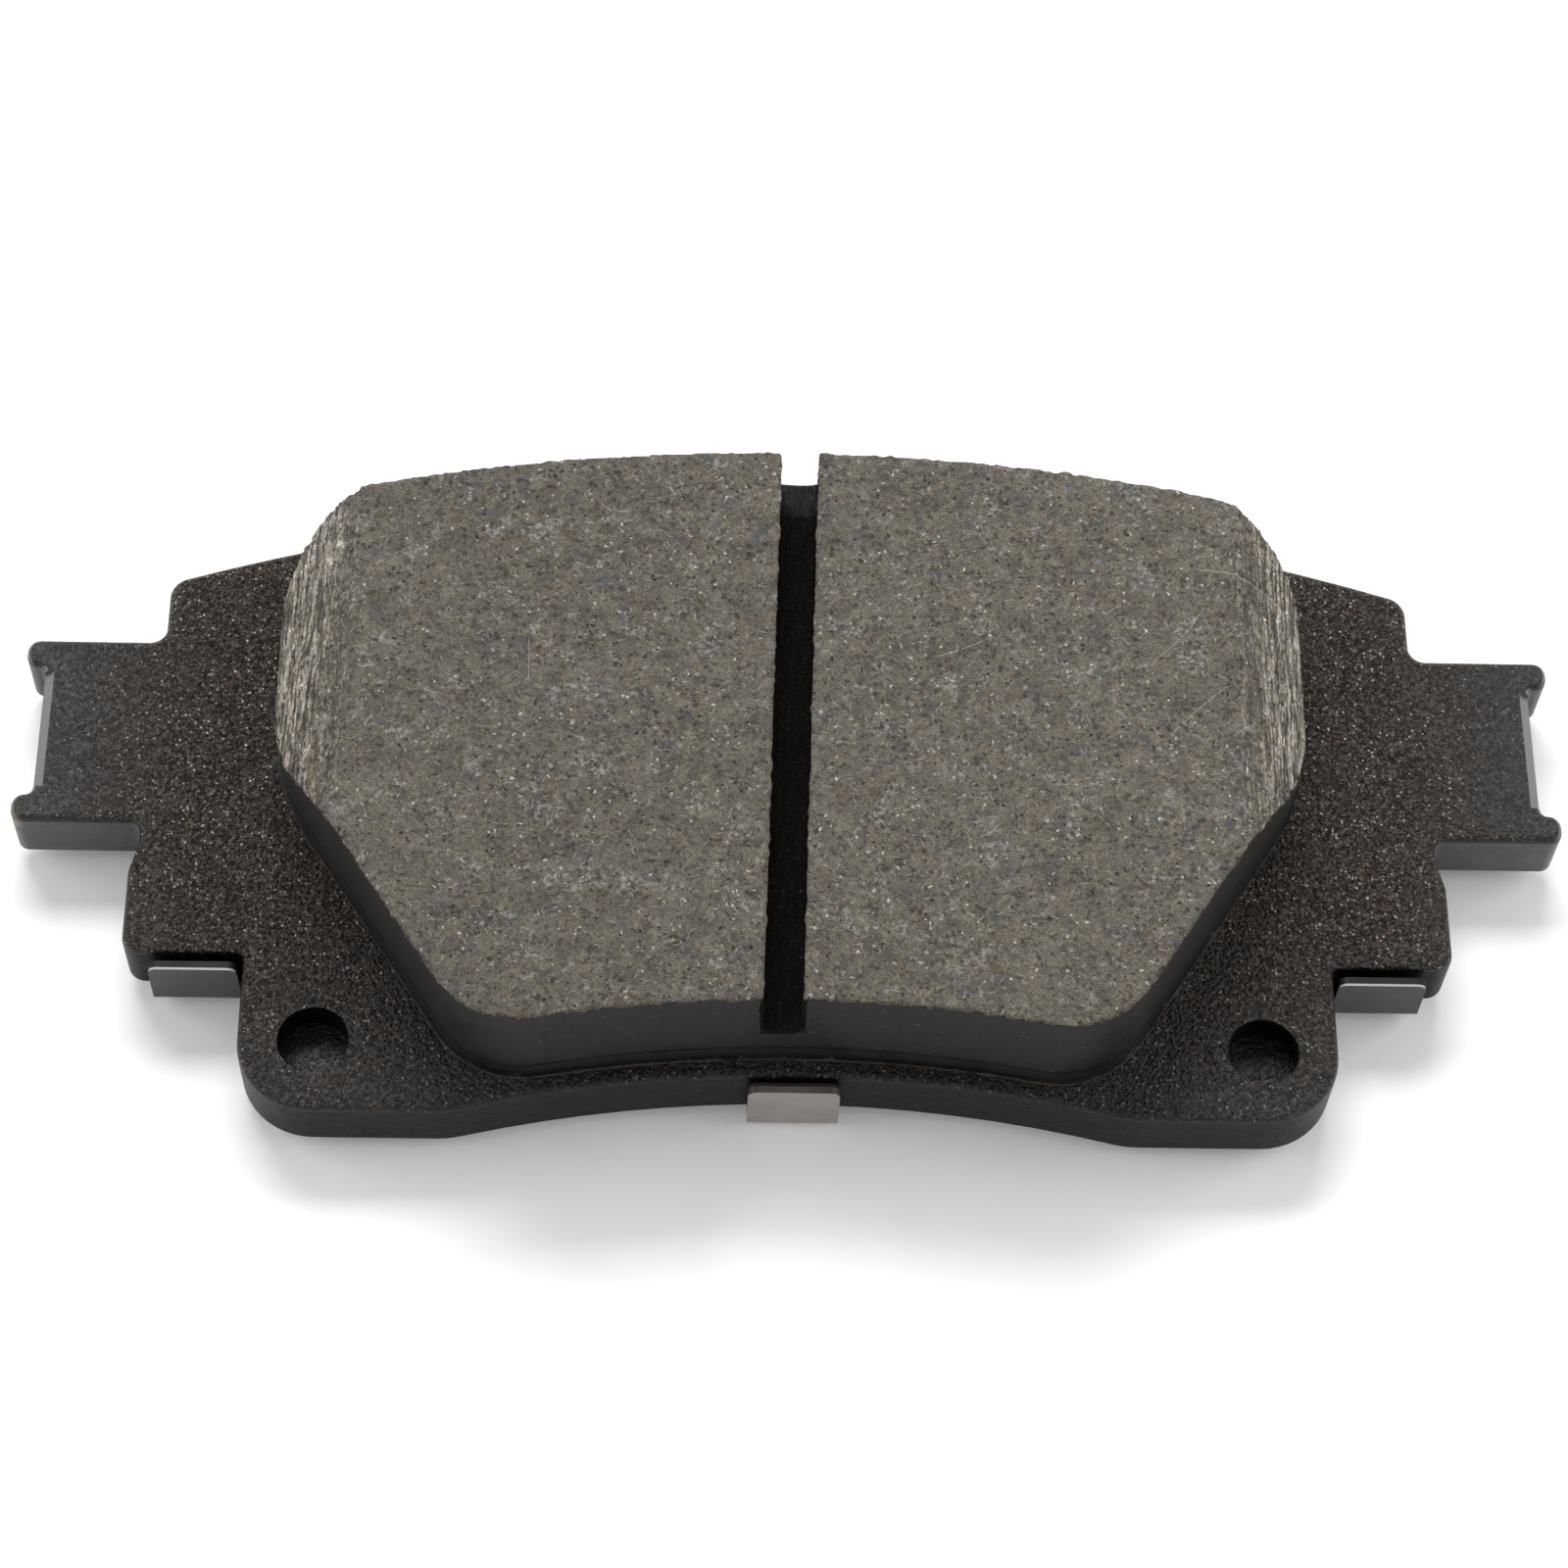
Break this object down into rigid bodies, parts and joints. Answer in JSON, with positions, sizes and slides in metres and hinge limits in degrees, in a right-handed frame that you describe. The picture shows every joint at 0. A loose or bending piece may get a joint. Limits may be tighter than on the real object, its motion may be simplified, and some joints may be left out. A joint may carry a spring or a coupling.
{
  "type": "brake pad",
  "caption": "Disc brake pad: hooked steel backing plate, slotted friction block with chamfered ends, and clip-on anti-squeal shims behind.",
  "frame": {"origin": "middle of the pad's bounding box, on the back surface of the outer shim", "axes": "+X along the pad from ear to ear, +Y away from the disc axis, +Z from the shims towards the disc"},
  "size_m": [0.1316, 0.0602, 0.0184],
  "materials": {
    "plate": "black powder coat with a fine gritty grain",
    "underlayer": "moulded phenolic layer, scorched dark",
    "friction": "ground friction compound, dull, speckled with fibres and flakes",
    "shim_core": "cold rolled steel",
    "shim_coat": "thin smooth rubber coat",
    "shim_steel": "satin stainless steel",
    "shim_liner": "thin black rubber"
  },
  "bodies": {
    "pad": {"backing_plate": "plate", "underlayer": "underlayer", "friction_block": "friction"},
    "inner_shim": {"inner_shim_core": "shim_core", "inner_shim_front_coat": "shim_coat", "inner_shim_back_coat": "shim_coat"},
    "outer_shim": {"outer_shim": "shim_steel", "outer_shim_liner": "shim_liner"}
  },
  "joints": [
    {"name": "inner_shim_slide", "type": "slide", "parent": "pad", "child": "inner_shim", "axis": [0, 0, -1], "range_m": [0, 0.012]},
    {"name": "outer_shim_slide", "type": "slide", "parent": "inner_shim", "child": "outer_shim", "axis": [0, 0, -1], "range_m": [0, 0.012]}
  ]
}
